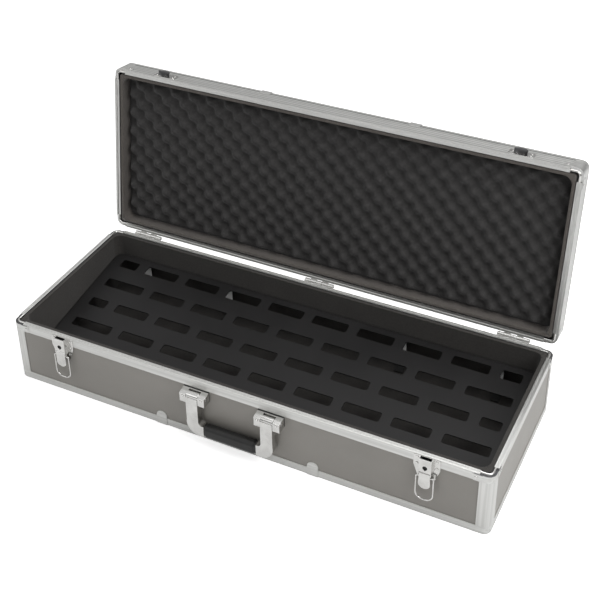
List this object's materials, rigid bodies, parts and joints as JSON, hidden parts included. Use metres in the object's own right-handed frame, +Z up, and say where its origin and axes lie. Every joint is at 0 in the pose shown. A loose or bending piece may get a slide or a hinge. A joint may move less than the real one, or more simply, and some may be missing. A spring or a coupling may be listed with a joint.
{
  "type": "guitar pedal case",
  "caption": "Hinged hard case for effect pedals, with a tilted slotted board inside, convoluted foam in the lid, bail latches with locks and a front handle",
  "frame": {"origin": "centre of the underside of the base, on the surface that the case stands on", "axes": "+X along the length, to the right seen from the front; -Y towards the front with the latches and the handle; +Z up"},
  "size_m": [0.8736, 0.4321, 0.4532],
  "materials": {
    "panel": "plywood faced with satin grey laminate",
    "aluminium": "satin, drawn, with fine lines along its length",
    "plated": "bright nickel plate",
    "steel": "plain",
    "board": "matt black powder coat",
    "foam": "open convoluted foam",
    "lining": "short felt",
    "grip": "fine moulded texture",
    "gasket": "matt"
  },
  "bodies": {
    "base": {"base_bottom_corners": "aluminium", "base_clips": "plated", "base_corner_posts": "aluminium", "base_floor_liner": "lining", "base_liner_front": "lining", "base_liner_left": "lining", "base_liner_rear": "lining", "base_liner_right": "lining", "base_panel_bottom": "panel", "base_panel_front": "panel", "base_panel_left": "panel", "base_panel_rear": "panel", "base_panel_right": "panel", "base_rail_front": "aluminium", "base_rail_left": "aluminium", "base_rail_rear": "aluminium", "base_rail_right": "aluminium", "base_rim_corners": "plated", "base_rim_front": "aluminium", "base_rim_left": "aluminium", "base_rim_rear": "aluminium", "base_rim_right": "aluminium", "base_rivets": "plated", "handle_brackets": "plated", "handle_gaskets": "gasket", "handle_pins": "steel", "hinge_leaves_base": "plated", "hinge_pins": "steel", "latch_body_left": "plated", "latch_body_right": "plated", "latch_pins": "steel"},
    "lid": {"hinge_leaves_lid": "plated", "lid_clips": "plated", "lid_corners": "aluminium", "lid_edge_front": "aluminium", "lid_edge_left": "aluminium", "lid_edge_rear": "aluminium", "lid_edge_right": "aluminium", "lid_foam": "foam", "lid_frame_front": "aluminium", "lid_frame_left": "aluminium", "lid_frame_rear": "aluminium", "lid_frame_right": "aluminium", "lid_liner": "lining", "lid_panel": "panel", "lid_rim_corners": "plated", "lid_rivets": "plated", "lid_strikes": "plated"},
    "handle": {"handle_arm_left": "plated", "handle_arm_right": "plated", "handle_grip": "grip"},
    "board": {"board_legs_front": "aluminium", "board_legs_rear": "aluminium", "pedal_board": "board"},
    "lever_left": {"latch_lever_left": "plated"},
    "lever_right": {"latch_lever_right": "plated"},
    "bail_left": {"latch_bail_left": "plated"},
    "bail_right": {"latch_bail_right": "plated"},
    "lock_left": {"lock_cylinder_left": "steel"},
    "lock_right": {"lock_cylinder_right": "steel"}
  },
  "joints": [
    {"name": "lid_hinge", "type": "hinge", "parent": "base", "child": "lid", "pos_m": [0, 0.165, 0.1215], "axis": [1, 0, 0], "range_deg": [0, 98]},
    {"name": "handle_swing", "type": "hinge", "parent": "base", "child": "handle", "pos_m": [0, -0.17, 0.097], "axis": [-1, 0, 0], "range_deg": [0, 100]},
    {"name": "board_lift", "type": "slide", "parent": "base", "child": "board", "axis": [0, 0, 1], "range_m": [0, 0.036]},
    {"name": "lever_left_swing", "type": "hinge", "parent": "base", "child": "lever_left", "pos_m": [-0.331, -0.168, 0.0932], "axis": [1, 0, 0], "range_deg": [-110, 0]},
    {"name": "bail_left_swing", "type": "hinge", "parent": "lever_left", "child": "bail_left", "pos_m": [-0.331, -0.1675, 0.086], "axis": [-1, 0, 0], "range_deg": [0, 180]},
    {"name": "lock_left_turn", "type": "hinge", "parent": "base", "child": "lock_left", "pos_m": [-0.331, -0.165, 0.1055], "axis": [0, 1, 0], "range_deg": [0, 90]},
    {"name": "lever_right_swing", "type": "hinge", "parent": "base", "child": "lever_right", "pos_m": [0.331, -0.168, 0.0932], "axis": [1, 0, 0], "range_deg": [-110, 0]},
    {"name": "bail_right_swing", "type": "hinge", "parent": "lever_right", "child": "bail_right", "pos_m": [0.331, -0.1675, 0.086], "axis": [-1, 0, 0], "range_deg": [0, 180]},
    {"name": "lock_right_turn", "type": "hinge", "parent": "base", "child": "lock_right", "pos_m": [0.331, -0.165, 0.1055], "axis": [0, 1, 0], "range_deg": [0, 90]}
  ]
}
